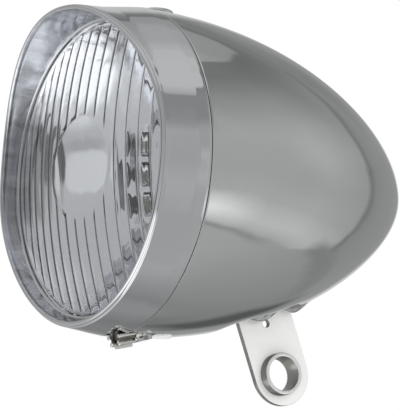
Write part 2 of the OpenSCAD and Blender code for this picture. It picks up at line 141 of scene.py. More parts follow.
# Reflector: a parabolic bowl with a flat floor, and the diodes that stand in it
RIM_Y = -4.8
BOWL_R = 29.0
BOWL_DEPTH = 11.5
BOWL_STEPS = 40
BOWL_Y = RIM_Y + 0.3 + BOWL_DEPTH
FLOOR_R = 10.5
FLOOR_Y = BOWL_Y - BOWL_DEPTH * (FLOOR_R / BOWL_R) ** 2
FLANGE_R = 31.8
BOARD_Y = FLOOR_Y + 2.7
POST_X = 9.2
LED_PITCH = 6.2
LED_R = 2.5
LED_LEN = 5.4

# Thumb screw: its axis slopes up to the back through (0, 0, SCREW_Z)
SCREW_SLOPE = 14.0
SCREW_Z = -33.6
FINS = 8
FIN_R = 2.5
FIN_FRONT = -2.2
FIN_REAR = 1.8
FIN_ROUND = 0.12
HEAD_ROOM_R = FIN_R + 0.15
SHANK_R = 0.85
SHANK_END = 8.0
SHANK_ROOM_R = 1.55
NOTCH_HALF_W = 3.1
NOTCH_BACK = 6.3

# Bracket: heights run up the strip from the bush, which is off the strip's middle by STRIP_SHIFT
STRIP_W = 13.2
STRIP_T = 1.2
STRIP_TOP = 25.0
STRIP_CORNER = 2.0
STRIP_EDGE = 0.14
STRIP_LEAN = 20.0
STRIP_SHIFT = 0.8
# Holes (along, up, radius, points): for the bush, the spare hole and two for the saddle's screws
STRIP_HOLES = [(0, 0, 4.0, 48), (0.7, 10.8, 0.8, 24), (0, 16.4, 1.6, 24), (0, 21.8, 1.6, 24)]
SADDLE_HALF = 6
SADDLE_REACH = 10
SADDLE_T = 1.0
SADDLE_GAP = 0.1

# Push button and the spring under it
BUTTON_Y = 7.4
BUTTON_R = 3.6
BUTTON_TOP = 34.8
BUTTON_CROWN = 0.9
BUTTON_HOLE_R = BUTTON_R + 0.25
COIL_FOOT = 27.65
COIL_TOP = 30.35
COIL_R = 2.4
COIL_TURNS = 3.5
WIRE_R = 0.22


def row(points):
    """Lamp-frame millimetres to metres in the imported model's frame."""
    return (np.asarray(points, float) + [0, -BUSH_BACK, BUSH_DROP]) * MM


def unrow(points):
    """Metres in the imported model's frame to lamp-frame millimetres."""
    return np.asarray(points, float) / MM - [0, -BUSH_BACK, BUSH_DROP]


# Mesh helpers

def add_object(name, data):
    obj = bpy.data.objects.new(name, data)
    bpy.context.scene.collection.objects.link(obj)
    return obj


def smooth(mesh, sharp=SHARP):
    """Shades the mesh smooth, except over sharp edges."""
    mesh.shade_smooth()
    mesh.set_sharp_from_angle(angle=math.radians(sharp))


def clean(mesh, sharp=SHARP):
    """Joins double points, turns the faces outward and shades the mesh."""
    bm = bmesh.new()
    bm.from_mesh(mesh)
    bmesh.ops.remove_doubles(bm, verts=bm.verts, dist=1e-7)
    bmesh.ops.recalc_face_normals(bm, faces=bm.faces)
    bm.to_mesh(mesh)
    bm.free()
    smooth(mesh, sharp)


def build(name, shape, sharp=SHARP):
    """Mesh object of a shape, which is a pair (lamp-frame points, faces)."""
    points, faces = shape
    corners = [tuple(p) for p in row(points)]
    mesh = bpy.data.meshes.new(name)
    mesh.from_pydata(corners, [], [tuple(int(i) for i in face) for face in faces])
    mesh.validate()
    clean(mesh, sharp)
    return add_object(name, mesh)


def settle(obj, body, replaces=()):
    """Lets the object ride on its body, in place of CAD nodes where it replaces any."""
    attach(obj, body)
    if replaces:
        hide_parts(*replaces)


def paint(obj, mat):
    obj.data.materials.clear()
    obj.data.materials.append(mat)
    return obj


def paint_where(obj, mat, wanted):
    """Paints the faces that wanted(x, y, z, normals) picks, by their lamp-frame middles."""
    faces = obj.data.polygons
    middles, normals = np.empty(3 * len(faces)), np.empty(3 * len(faces))
    faces.foreach_get("center", middles)
    faces.foreach_get("normal", normals)
    x, y, z = unrow(middles.reshape(-1, 3)).T
    obj.data.materials.append(mat)
    index = len(obj.data.materials) - 1
    for at in np.flatnonzero(wanted(x, y, z, normals.reshape(-1, 3))):
        faces[int(at)].material_index = index


def piece(name, shape, mat, body, replaces=()):
    """A painted piece of the lamp that rides on a body."""
    obj = build(name, shape)
    settle(obj, body, replaces)
    return paint(obj, mat)


def grid(nu, nv, wrap_u=False, wrap_v=False, at=0):
    """Quads of a grid whose point (i, j) has the number at + i * nv + j."""
    out = []
    for i in range(nu if wrap_u else nu - 1):
        for j in range(nv if wrap_v else nv - 1):
            i2, j2 = (i + 1) % nu, (j + 1) % nv
            out.append((at + i * nv + j, at + i2 * nv + j, at + i2 * nv + j2, at + i * nv + j2))
    return out


def slab(nu, nv):
    """Faces of a closed slab: two grids of nu by nv points and the border between them."""
    at = nu * nv
    border = [i * nv for i in range(nu)] + [(nu - 1) * nv + j for j in range(1, nv)]
    border += [i * nv + nv - 1 for i in range(nu - 2, -1, -1)] + list(range(nv - 2, 0, -1))
    sides = [(a, b, b + at, a + at) for a, b in zip(border, border[1:] + border[:1])]
    return grid(nu, nv) + grid(nu, nv, at=at) + sides


def arc(cx, cy, rx, start, end, steps, ry=None):
    """Points of a round arc, or of an elliptic one where ry is given."""
    ry = rx if ry is None else ry
    angles = np.radians(np.linspace(start, end, steps))
    return [(cx + rx * math.cos(t), cy + ry * math.sin(t)) for t in angles]


def circle_angles(turns):
    return np.arange(turns) * 2 * math.pi / turns


def ring(angles, r, y):
    """Points round the lamp's axis, by their angles off the top."""
    return np.stack([r * np.sin(angles), np.full(len(angles), y), r * np.cos(angles)], -1)


def lathe(outline, turns, axis="y", centre=(0, 0, 0), closed=True):
    """Shape of an outline [(radius, along)] turned about an axis through centre."""
    outline = np.asarray(outline, float)
    angles = circle_angles(turns)
    c, s = outline[:, :1] * np.cos(angles), outline[:, :1] * np.sin(angles)
    along = outline[:, 1:] + np.zeros_like(c)
    columns = {"x": (along, c, s), "y": (s, along, c), "z": (c, s, along)}[axis]
    points = np.stack(columns, -1) + np.asarray(centre, float)
    return points.reshape(-1, 3), grid(len(outline), turns, wrap_u=closed, wrap_v=True)


def bar(radius, start, end, turns, axis="z", centre=(0, 0, 0), bore=ON_AXIS):
    """Round bar along an axis, or a tube where it has a bore."""
    return lathe([(bore, start), (radius, start), (radius, end), (bore, end)], turns, axis, centre)


def prism(outline, z0, z1):
    """Upright prism of an outline [(x, y)]."""
    n = len(outline)
    points = [(x, y, z0) for x, y in outline] + [(x, y, z1) for x, y in outline]
    faces = [(i, (i + 1) % n, n + (i + 1) % n, n + i) for i in range(n)]
    return np.array(points), faces + [tuple(range(n)), tuple(range(n, 2 * n))]


def turn(degrees, axis):
    return np.array(Matrix.Rotation(math.radians(degrees), 3, axis))


def place(shape, turned, move=(0, 0, 0)):
    """The shape turned by a matrix and then moved."""
    points, faces = shape
    return np.asarray(points, float) @ turned.T + np.asarray(move, float), faces


def on_screw(shape):
    """Takes a shape from about the Z axis to about the thumb screw's."""
    return place(shape, turn(SCREW_SLOPE - 90, "X"), (0, 0, SCREW_Z))


def on_strip(shape):
    """Takes a shape from (across, along, up) at the bush to its place on the leaning strip."""
    return place(shape, turn(STRIP_LEAN, "X"), (0, BUSH_BACK, -BUSH_DROP))


# Turns a flat outline in (along, up) so that it stands in the strip's plane
STAND = np.array([(0, 0, 1), (1, 0, 0), (0, 1, 0)])


def join(shapes):
    """Several shapes as one."""
    points, faces, at = [], [], 0
    for some_points, some_faces in shapes:
        points.append(some_points)
        faces += [tuple(i + at for i in face) for face in some_faces]
        at += len(some_points)
    return np.concatenate(points), faces


def cut(obj, *shapes):
    """Takes the shapes out of obj."""
    tools = [build("tool", shape) for shape in shapes]
    for tool in tools:
        mod = obj.modifiers.new("cut", "BOOLEAN")
        mod.operation, mod.solver, mod.object = "DIFFERENCE", "EXACT", tool
    graph = bpy.context.evaluated_depsgraph_get()
    mesh = bpy.data.meshes.new_from_object(obj.evaluated_get(graph))
    obj.modifiers.clear()
    obj.data = mesh
    smooth(mesh)
    for tool in tools:
        bpy.data.objects.remove(tool)
    return obj


# Node helpers

def feed(tree, socket, value):
    """Links an input to another node's output, or sets it to a constant value."""
    if isinstance(value, bpy.types.NodeSocket):
        tree.links.new(value, socket)
    else:
        socket.default_value = value


def add_node(tree, kind, **inputs):
    """New shader node, with inputs set or linked by their names, _ for a space."""
    node = tree.nodes.new("ShaderNode" + kind)
    for name, value in inputs.items():
        feed(tree, node.inputs[name.replace("_", " ")], value)
    return node


def mix_shaders(tree, factor, first, second):
    """Shader that goes from first to second as the factor goes from 0 to 1."""
    mix = add_node(tree, "MixShader", Fac=factor)
    tree.links.new(first, mix.inputs[1])
    tree.links.new(second, mix.inputs[2])
    return mix.outputs[0]


# Materials

def material(name, base, rough, metallic=0.0, **more):
    """Principled material whose colour and roughness vary a little with noise, with fine bump.
    more: scale, vary, rough_vary, bump, bump_scale, bump_detail, stretch, and shader inputs."""
    mat = bpy.data.materials.new(name)
    mat.use_nodes = True
    tree = mat.node_tree
    shader = tree.nodes["Principled BSDF"]
    shader.inputs["Metallic"].default_value = metallic
    for key, value in more.get("inputs", {}).items():
        shader.inputs[key].default_value = value
    at = add_node(tree, "Mapping", Vector=add_node(tree, "TexCoord").outputs["Object"],
                  Scale=more.get("stretch", (1, 1, 1))).outputs["Vector"]
    noise = add_node(tree, "TexNoise", Vector=at, Scale=more.get("scale", 300.0),
                     Detail=4.0).outputs["Fac"]
    vary, rough_vary = more.get("vary", 0.06), more.get("rough_vary", 0.15)
    ramp = add_node(tree, "ValToRGB", Fac=noise)
    for mark, position, factor in zip(ramp.color_ramp.elements, (0.3, 0.7), (1 - vary, 1 + vary)):
        mark.position = position
        mark.color = (*(min(1, c * factor) for c in base), 1)
    tree.links.new(ramp.outputs["Color"], shader.inputs["Base Color"])
    span = add_node(tree, "MapRange", Value=noise, To_Min=rough * (1 - rough_vary),
                    To_Max=rough * (1 + rough_vary))
    tree.links.new(span.outputs["Result"], shader.inputs["Roughness"])
    if more.get("bump"):
        fine = add_node(tree, "TexNoise", Vector=at, Scale=more.get("bump_scale", 900.0),
                        Detail=more.get("bump_detail", 2.0))
        bump = add_node(tree, "Bump", Strength=1.0, Distance=more["bump"] * MM,
                        Height=fine.outputs["Fac"])
        tree.links.new(bump.outputs["Normal"], shader.inputs["Normal"])
    return mat


chrome = material("chrome", (0.625, 0.635, 0.63), 0.06, 1.0, scale=60, vary=0.012,
                  rough_vary=0.3, bump=0.02, bump_scale=70, bump_detail=0.0)
# Inside of the hood: a rougher chrome, painted darker and bluer in streaks along Y as shade and the
# lens's reflection
visor = material("visor_inside_shade", (0.585, 0.595, 0.63), 0.2, 1.0, scale=500, vary=0.2,
                 rough_vary=0.2, bump=0.015, bump_scale=300, stretch=(1, 0.12, 1))
bezel_chrome = material("bezel_chrome", (0.635, 0.64, 0.65), 0.05, 1.0, scale=60, vary=0.012,
                        rough_vary=0.3, bump=0.02, bump_scale=70, bump_detail=0.0)
button_chrome = material("button_chrome", (0.66, 0.67, 0.67), 0.06, 1.0, scale=80, vary=0.015)
# Slot lips: a rougher, bumpy chrome whose strong mottle is painted glints
lip_chrome_glints = material("lip_chrome_glints", (0.62, 0.63, 0.61), 0.14, 1.0, scale=900, vary=0.3,
                      rough_vary=0.3, bump=0.12, bump_scale=1000)
mirror = material("mirror_bowl", (0.9, 0.9, 0.91), 0.06, 1.0, scale=60, vary=0.01,
                  bump=0.015, bump_scale=120, bump_detail=0.0)
zinc = material("zinc_plate", (0.96, 0.955, 0.945), 0.35, 0.25, scale=260, vary=0.02,
                rough_vary=0.25, bump=0.01, bump_scale=500, stretch=(1, 0.25, 1))
sheared = material("sheared_edge", (0.25, 0.235, 0.22), 0.35, 0.6, scale=400, vary=0.25,
                   rough_vary=0.3, bump=0.02, bump_scale=900)
bush_steel = material("bush_plate", (0.93, 0.93, 0.92), 0.22, 0.8, scale=260, vary=0.04,
                      rough_vary=0.3, bump=0.01, bump_scale=600)
# Painted shade: the bush ring's walls and groove, dark beside its bright flat faces
bush_wall_shade = material("bush_wall_shade", (0.32, 0.315, 0.295), 0.22, 1.0, scale=260, vary=0.1,
                     rough_vary=0.3, bump=0.01, bump_scale=600)
screw_steel = material("screw_plate", (0.78, 0.78, 0.74), 0.16, 1.0, scale=500, vary=0.06,
                       rough_vary=0.3, bump=0.02, bump_scale=900)
# Painted shade: the dark core of the thumb screw stands for the shade between its fins
screw_gap_shade = material("screw_gap_shade", (0.16, 0.15, 0.13), 0.3, 0.9, scale=500, vary=0.2)
plain_steel = material("plain_steel", (0.56, 0.56, 0.55), 0.34, 1.0, scale=220, vary=0.08,
                       bump=0.01, bump_scale=700)
spring_steel = material("spring_steel", (0.62, 0.62, 0.61), 0.25, 1.0, scale=400, vary=0.05)
copper = material("copper_contact", (0.8, 0.62, 0.36), 0.25, 1.0, scale=300, vary=0.08)
rubber = material("rubber", (0.2, 0.2, 0.21), 0.6, scale=500, vary=0.2, bump=0.02)
black = material("black_plastic", (0.035, 0.035, 0.038), 0.42, scale=900, vary=0.2, bump=0.02,
                 bump_scale=1500)
board = material("board_green", (0.03, 0.13, 0.05), 0.35, scale=200, vary=0.15)
ceramic = material("resistor_ceramic", (0.05, 0.05, 0.055), 0.3, scale=500, vary=0.15)
wrap = material("cell_wrap", (0.035, 0.06, 0.13), 0.25, scale=150, vary=0.08)
phosphor = material("phosphor", (0.5, 0.5, 0.44), 0.4, scale=900, vary=0.2)
GLASSY = {"Transmission Weight": 1.0, "IOR": 1.5}
clear = material("lens_clear", (0.965, 0.975, 0.995), 0.01, scale=40, vary=0.004, inputs=GLASSY)
epoxy = material("diode_clear", (0.97, 0.97, 0.96), 0.03, scale=300, vary=0.01, inputs=GLASSY)


# Shell

def bullet(y, r=SHELL_R, length=SHELL_LEN):
    return r * np.maximum(0, 1 - (np.asarray(y, float) / length) ** 2) ** SHELL_POWER


def inner_skin(y):
    return float(bullet(y, SHELL_R - WALL, INNER_LEN))


def smooth_max(a, b, k):
    """The larger of a and b, with the corner between them rounded over about k."""
    h = np.clip(0.5 + 0.5 * (a - b) / k, 0, 1)
    return b * (1 - h) + a * h + k * h * (1 - h)


def lobes(y, table):
    """Sum of round lobes (height, middle, half length)."""
    return sum(height * np.cos(np.clip(np.abs(y - middle) / half, 0, 1) * math.pi / 2) ** 2
               for height, middle, half in table)


def slot_dent(x, y):
    """Depth to which both skins are pressed in round the bracket slot."""
    return np.exp(-(x / DENT_HALF_W) ** 4) * lobes(y, DENTS)


def slot_lips(x, y):
    """Height of the lips that rise from the dent along the sides of the slot."""
    return np.exp(-((np.abs(x) - SLOT_LIP_X) / SLOT_LIP_W) ** 2) * lobes(y, SLOT_LIPS)


def ridge_radius(sx, cz, y):
    """Radius at which rays from the lamp's axis leave the ridge's rod, 0 where they miss it."""
    past = max(0, y - RIDGE_BACK)
    rod = math.sqrt(max(0, RIDGE_R ** 2 - past ** 2)) if y > RIDGE_FRONT else 0
    ridge_z = RIDGE_DEPTH - SHELL_R + RIDGE_RISE * (y - RIDGE_RISE_FROM)
    along = RIDGE_X * sx + ridge_z * cz
    under = rod ** 2 - (ridge_z * sx - RIDGE_X * cz) ** 2
    return np.where(under > 0, along + np.sqrt(np.maximum(under, 0)), 0)


def shell_angles():
    """Angles off the top, closer together near the bottom, where the pressed forms are."""
    half = np.concatenate([np.linspace(0, FINE_FROM, COARSE_TURNS, endpoint=False),
                           np.linspace(FINE_FROM, 180, FINE_TURNS, endpoint=False)])
    return np.radians(np.concatenate([half, [180], 360 - half[:0:-1]]))


def shell_steps():
    steps = [np.linspace(start, end, n, endpoint=False) for start, end, n in STRETCHES]
    return np.concatenate(steps + [SHELL_LEN * np.sin(np.radians(TAIL_ANGLES))])


def shell_shape():
    """Rings of the outer skin from the seam to the tail, and of the inner skin back to the seam."""
    angles = shell_angles()
    m = len(angles)
    sx, cz = np.sin(angles), np.cos(angles)
    low = cz < LOW_COS
    rings = [ring(angles, SHELL_R - inward, SEAM + back) for inward, back in
             ((WALL, 0), (0.08, 0), (0.02, 0.02), (0, 0.07))]
    for y in shell_steps():
        r = float(bullet(y))
        r = r + np.where(low, slot_lips(r * sx, y) - slot_dent(r * sx, y), 0)
        ridge = ridge_radius(sx, cz, y)
        rings.append(ring(angles, np.where(ridge > 0, smooth_max(r, ridge, RIDGE_BLEND), r), y))
    outer = len(rings)
    for y in INNER_LEN * np.sin(np.radians(INNER_ANGLES)):
        r = inner_skin(y)
        r = r - np.where(low, slot_dent(r * sx, y), 0)
        rings.append(ring(angles, r, max(y, SEAM + 0.01)))
    n = len(rings)
    faces = grid(outer, m, wrap_v=True) + grid(n - outer, m, wrap_v=True, at=outer * m)
    # The tips of both skins, and the rim between them
    tip = n * m
    for j in range(m):
        k = (j + 1) % m
        faces.append(((outer - 1) * m + j, tip, (outer - 1) * m + k))
        faces.append((outer * m + j, outer * m + k, tip + 1))
        faces.append(((n - 1) * m + j, (n - 1) * m + k, k, j))
    return np.concatenate(rings + [[(0, SHELL_LEN, 0), (0, INNER_LEN, 0)]]), faces


def make_shell():
    """Skin with the slot for the bracket, a notch for the screw's head, room for its shank and the
    push button's hole."""
    slot = arc(0, STRIP_SHIFT + SLOT_HALF_LEN, SLOT_HALF_W, 0, 180, 13, ry=1)
    slot += arc(0, STRIP_SHIFT - SLOT_HALF_LEN, SLOT_HALF_W, 180, 360, 13, ry=1)
    notch = [(-NOTCH_HALF_W, -1), (NOTCH_HALF_W, -1), (NOTCH_HALF_W, NOTCH_BACK),
             (-NOTCH_HALF_W, NOTCH_BACK)]
    obj = cut(build("shell_skin", shell_shape()), on_strip(prism(slot, 0, 22)),
              prism(notch, -60, -28), on_screw(bar(SHANK_ROOM_R, 3, 8.4, 32)),
              bar(BUTTON_HOLE_R, 20, 40, 64, centre=(0, BUTTON_Y, 0)))
    settle(obj, "housing", ["shell"])
    paint(obj, chrome)

    def proud(x, y, z):
        """Height over the plain bullet, at the bottom of the shell only."""
        bottom = (z <= -20) & (y > 6) & (y < 46)
        return np.where(bottom, np.hypot(x, z) - bullet(y), -WALL * 10)

    # The ridge, painted bright zinc as a painted highlight along it
    paint_where(obj, zinc, lambda x, y, z, normals: (proud(x, y, z) > 0.05)
                & (np.abs(x - RIDGE_X) < 1) & (y < 12))
    # The lips of the slot, in bumpy chrome whose strong mottle is painted glints
    paint_where(obj, lip_chrome_glints, lambda x, y, z, normals: (proud(x, y, z) > -1.5)
                & (y > 26) & (slot_lips(x, y) > 0.2))


# Bezel

def bezel_skin_r(y):
    return np.interp(-np.asarray(y, float), *zip(*BEZEL_SKIN))


def lip_line(c):
    """Y of the hood's front edge, by the cosine of the angle off the top."""
    side = BULGE * np.exp(-((LIP_PATH_R * c + BULGE_DROP) / BULGE_SPREAD) ** 2)
    return -(BEZEL_LEN + side + HOOD * np.maximum(c, 0) ** 2)


def bezel_rings(angles):
    """Radius and Y of each ring: from the seam over the outer skin, its round edge and the lip,
    then inside back to the lens, round the seat's edge and along the inside to the seam."""
    lip_y = lip_line(np.cos(angles))
    skin_end = lip_y + SKIN_BACK
    rings = [(BEZEL_R - inward, y) for inward, y in (
        (WALL, -SEAM), (0.28, -SEAM), (0.12, -SEAM - 0.04), (0.03, -SEAM - 0.14), (0, SKIN_START))]
    for t in np.linspace(0.04, 1, 22):
        y = SKIN_START + (skin_end - SKIN_START) * t
        rings.append((bezel_skin_r(y), y))
    rings += arc(bezel_skin_r(skin_end) - SKIN_ROUND, skin_end, SKIN_ROUND, -30, -90, 3)
    rings += arc(LIP_PATH_R, lip_y, LIP_R, -2, -215, 18)
    start_r, start_y = LIP_PATH_R - LIP_R + 0.12, lip_y + 0.5
    end_r, end_y = 30.6, -SEAT - 0.4
    for t in np.linspace(0, 1, 10):
        rings.append((start_r + (end_r - start_r) * t, start_y + (end_y - start_y) * t))
    rings += arc(end_r - SEAT_ROUND, end_y, SEAT_ROUND, 30, 90, 3)
    return rings + [(SEAT_HOLE_R, -SEAT), (31.9, -SEAT), (31.9, -3.0), (32.2, -2.2),
                    (BEZEL_R - WALL, -1.9), (BEZEL_R - WALL, -0.6)]


def make_bezel():
    """Skin with the inside of its hood painted darker and bluer, as shade and the lens's
    reflection, and room for the screw's head.
    """
    angles = circle_angles(BEZEL_TURNS)
    rings = bezel_rings(angles)
    points = np.concatenate([ring(angles, r, y) for r, y in rings])
    share = np.clip((-MOUTH_FROM - points[:, 1]) / (BEZEL_LEN - MOUTH_FROM), 0, 1)
    points[:, 0] *= 1 - MOUTH_SHARE * share
    faces = grid(len(rings), BEZEL_TURNS, wrap_u=True, wrap_v=True)
    obj = paint(build("bezel_skin", (points, faces)), bezel_chrome)

    def inside_hood(x, y, z, normals):
        """Faces between the lens and the lip that look inward."""
        inward = -(normals[:, 0] * x + normals[:, 2] * z) > 20
        return inward & (y > -16) & (y < -7.3) & (np.hypot(x, z) < LIP_PATH_R)

    # The inside of the hood gets painted shade and a painted reflection of the lens
    paint_where(obj, visor, inside_hood)
    cut(obj, on_screw(bar(HEAD_ROOM_R, -2.5, 7.7, 48)))
    settle(obj, "front", ["bezel"])


# Lens

def lens_shape():
    """Closed dome: a spherical front, and a back with upright flutes round a plain window."""
    half_steps = FLUTES_EACH_SIDE * STEPS_PER_FLUTE + STEPS_PER_FLUTE // 2
    xs = np.arange(-half_steps, half_steps + 1) * FLUTE / STEPS_PER_FLUTE
    xs = xs[np.abs(xs) < LENS_RIM_R - 0.02]
    xs = np.concatenate([[0.01 - LENS_RIM_R], xs, [LENS_RIM_R - 0.01]])
    # Rows from -1 to 1 that close up towards the rim
    quarter = math.pi / 2
    rows = np.sin(np.linspace(-quarter, quarter, LENS_ROWS) * ROW_EASE)
    rows = rows / math.sin(quarter * ROW_EASE)
    x = np.repeat(xs[:, None], LENS_ROWS, 1)
    z = rows[None, :] * np.sqrt(LENS_RIM_R ** 2 - x ** 2)
    r = np.hypot(x, z)
    front = SPHERE_Y - np.sqrt(SPHERE_R ** 2 - r ** 2)
    back = np.minimum(SPHERE_Y - np.sqrt((SPHERE_R - LENS_WALL) ** 2 - r ** 2), BACK_FLAT)
    # 0 in the middle of a flute and 1 on the crest between two
    off_middle = np.abs(2 * (x / FLUTE - np.round(x / FLUTE)))
    window = np.clip((r - WINDOW_R + WINDOW_FADE / 2) / WINDOW_FADE, 0, 1)
    window = window * window * (3 - 2 * window)
    edge = np.clip((LENS_RIM_R - EDGE_FADE - r) / EDGE_FADE, 0, 1)
    room = np.clip((-5.0 - back) / 0.5, 0, 1)
    back = back + FLUTE_DEPTH * (1 - off_middle ** FLUTE_POWER) * window * edge * room
    points = [np.stack([x, y, z], -1).reshape(-1, 3) for y in (front, back)]
    return np.concatenate(points), slab(len(xs), LENS_ROWS)


def make_lens():
    """Fluted dome, and the plain step round it that sits on the bezel's seat."""
    dome = build("lens_dome", lens_shape(), sharp=50)
    settle(dome, "front", ["lens"])
    paint(dome, clear)
    step = [(SEAT_HOLE_R, -6.95), (31.6, -6.95), (31.75, -6.85), (31.75, -5.75), (31.6, -5.62),
            (SEAT_HOLE_R, -5.62)]
    piece("lens_step", lathe(step, 192), clear, "front")


# Reflector and diodes

def make_reflector():
    """Bowl with holes for the diodes, and the two posts that carry their board."""
    radii = [FLOOR_R + (BOWL_R - FLOOR_R) * i / BOWL_STEPS for i in range(BOWL_STEPS + 1)]
    bowl = [(r, BOWL_Y - BOWL_DEPTH * (r / BOWL_R) ** 2) for r in radii]
    inside = [(NEAR_AXIS, FLOOR_Y)] + [(FLOOR_R * t, FLOOR_Y) for t in (0.3, 0.6, 0.9, 0.97)]
    inside += bowl + [(BOWL_R + 0.2, RIM_Y + 0.08), (BOWL_R + 0.5, RIM_Y),
                      (FLANGE_R - 0.1, RIM_Y), (FLANGE_R, RIM_Y + 0.1)]
    outside = [(FLANGE_R, RIM_Y + 0.9), (FLANGE_R - 0.1, RIM_Y + 1.0), (BOWL_R + 0.9, RIM_Y + 1.0)]
    outside += [(r + 0.4, y + 1.4) for r, y in bowl[::-4]] + [(NEAR_AXIS, FLOOR_Y + 1.1)]
    holes = [bar(LED_R + 0.07, FLOOR_Y - 4, FLOOR_Y + 4, 48, "y", (0, 0, k * LED_PITCH))
             for k in (-1, 0, 1)]
    obj = cut(build("reflector_bowl", lathe(inside + outside, 192)), *holes)
    for side, x in (("left", -POST_X), ("right", POST_X)):
        post = bar(2.2, FLOOR_Y + 0.9, BOARD_Y - 0.02, 32, "y", (x, 0, 0), bore=0.95)
        piece(f"reflector_post_{side}", post, mirror, "front")
    settle(obj, "front", ["reflector"])
    paint(obj, mirror)


def make_led(name, k):
    """Diode with a domed body, the cup in it and the chip in the cup, k pitches up."""
    centre = (0, BOARD_Y, k * LED_PITCH)
    body = [(ON_AXIS, 0.0), (LED_R + 0.28, 0.0), (LED_R + 0.3, -0.1), (LED_R + 0.3, -0.8),
            (LED_R + 0.2, -0.9), (LED_R, -0.95)]
    body += arc(0, LED_R - LED_LEN, LED_R, 0, -84, 15) + [(ON_AXIS, -LED_LEN)]
    cup = [(NEAR_AXIS, -1.55), (0.6, -1.55), (1.15, -2.25), (1.3, -2.25), (1.3, -0.9),
           (NEAR_AXIS, -0.9)]
    chip = [(NEAR_AXIS, -1.6), (0.55, -1.6), (1.05, -2.15), (0.9, -2.22), (0.5, -2.3),
            (NEAR_AXIS, -2.32)]
    piece(name + "_dome", lathe(body, 48, "y", centre, closed=False), epoxy, "front",
          [name])
    piece(name + "_cup", lathe(cup, 32, "y", centre), spring_steel, "front")
    piece(name + "_chip", lathe(chip, 24, "y", centre), phosphor, "front")


# Thumb screw

def make_screw():
    """Core painted dark as the shade between the fins, collar behind them, shank, and the fins
    round the core.
    """
    front, rear = FIN_FRONT, FIN_REAR
    core = [(NEAR_AXIS, front + 0.8), (1.1, front + 0.8), (1.2, front + 0.4), (1.3, front + 0.3),
            (1.65, front + 0.3), (1.75, front + 0.4), (1.75, rear - 0.15), (1.6, rear),
            (1.0, rear + 0.02), (NEAR_AXIS, rear + 0.02)]
    collar = [(NEAR_AXIS, rear - 0.5), (1.3, rear - 0.5), (1.3, rear + 0.25), (1.75, rear + 0.35),
              (1.9, rear + 0.5), (1.9, rear + 1.1), (1.7, rear + 1.3), (NEAR_AXIS, rear + 1.3)]
    shank = [(NEAR_AXIS, rear + 1.2), (SHANK_R, rear + 1.2), (SHANK_R, SHANK_END - 0.4),
             (SHANK_R - 0.25, SHANK_END), (NEAR_AXIS, SHANK_END)]
    # The core is painted dark, as the shade between the fins
    for name, outline, mat, replaces in (("core", core, screw_gap_shade, ["thumb_screw"]),
                                         ("collar", collar, screw_steel, ()),
                                         ("shank", shank, zinc, ())):
        piece("thumb_screw_" + name, on_screw(lathe(outline, 48, "z")), mat, "screw",
              replaces)
    fin = prism([(1.45, -0.36), (FIN_R - 0.08, -0.36), (FIN_R, -0.2), (FIN_R, 0.2),
                 (FIN_R - 0.08, 0.36), (1.45, 0.36)], front, rear)
    fins = join([place(fin, turn(360 * i / FINS, "Z")) for i in range(FINS)])
    obj = build("thumb_screw_fins", on_screw(fins))
    settle(obj, "screw")
    mod = obj.modifiers.new("round", "BEVEL")
    mod.width, mod.segments = FIN_ROUND * MM, 2
    mod.limit_method, mod.angle_limit = "ANGLE", math.radians(30)
    paint(obj, screw_steel)


# Bracket

def strip_outline():
    """The strip from (along, up) at the bush: a round foot, and a top with round corners."""
    w, corner = STRIP_W / 2, STRIP_CORNER
    shoulder = STRIP_TOP - corner
    outline = arc(0, 0, w, 180, 360, 49) + [(w, shoulder)]
    outline += arc(w - corner, shoulder, corner, 15, 75, 3)
    outline += [(w - corner, STRIP_TOP), (corner - w, STRIP_TOP)]
    outline += arc(corner - w, shoulder, corner, 105, 165, 3) + [(-w, shoulder)]
    return [(x + STRIP_SHIFT, y) for x, y in outline]


def make_bracket():
    """The strip as a flat curve with holes, which gets its thickness and round edges there."""
    curve = bpy.data.curves.new("strip", "CURVE")
    curve.dimensions = "2D"
    curve.fill_mode = "BOTH"
    curve.extrude = (STRIP_T / 2 - STRIP_EDGE) * MM
    curve.bevel_depth, curve.bevel_resolution = STRIP_EDGE * MM, 2
    curve.offset = -STRIP_EDGE * MM
    holes = [[(x + r * math.cos(t), y + r * math.sin(t)) for t in circle_angles(n)]
             for x, y, r, n in STRIP_HOLES]
    for loop in [strip_outline()] + holes:
        spline = curve.splines.new("POLY")
        spline.points.add(len(loop) - 1)
        for point, (x, y) in zip(spline.points, loop):
            point.co = (x * MM, y * MM, 0, 1)
        spline.use_cyclic_u = True
    flat = add_object("strip_curve", curve)
    graph = bpy.context.evaluated_depsgraph_get()
    mesh = bpy.data.meshes.new_from_object(flat.evaluated_get(graph))
    bpy.data.objects.remove(flat)
    # The bush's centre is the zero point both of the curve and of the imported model
    mesh.transform(Matrix(turn(STRIP_LEAN, "X") @ STAND).to_4x4())
    clean(mesh, 40)
    obj = add_object("bracket_strip", mesh)
    settle(obj, "housing", ["bracket"])
    paint(obj, zinc)
    obj.visible_glossy = False
    paint_where(obj, sheared, lambda x, y, z, normals: np.abs(normals[:, 0]) < 0.8)


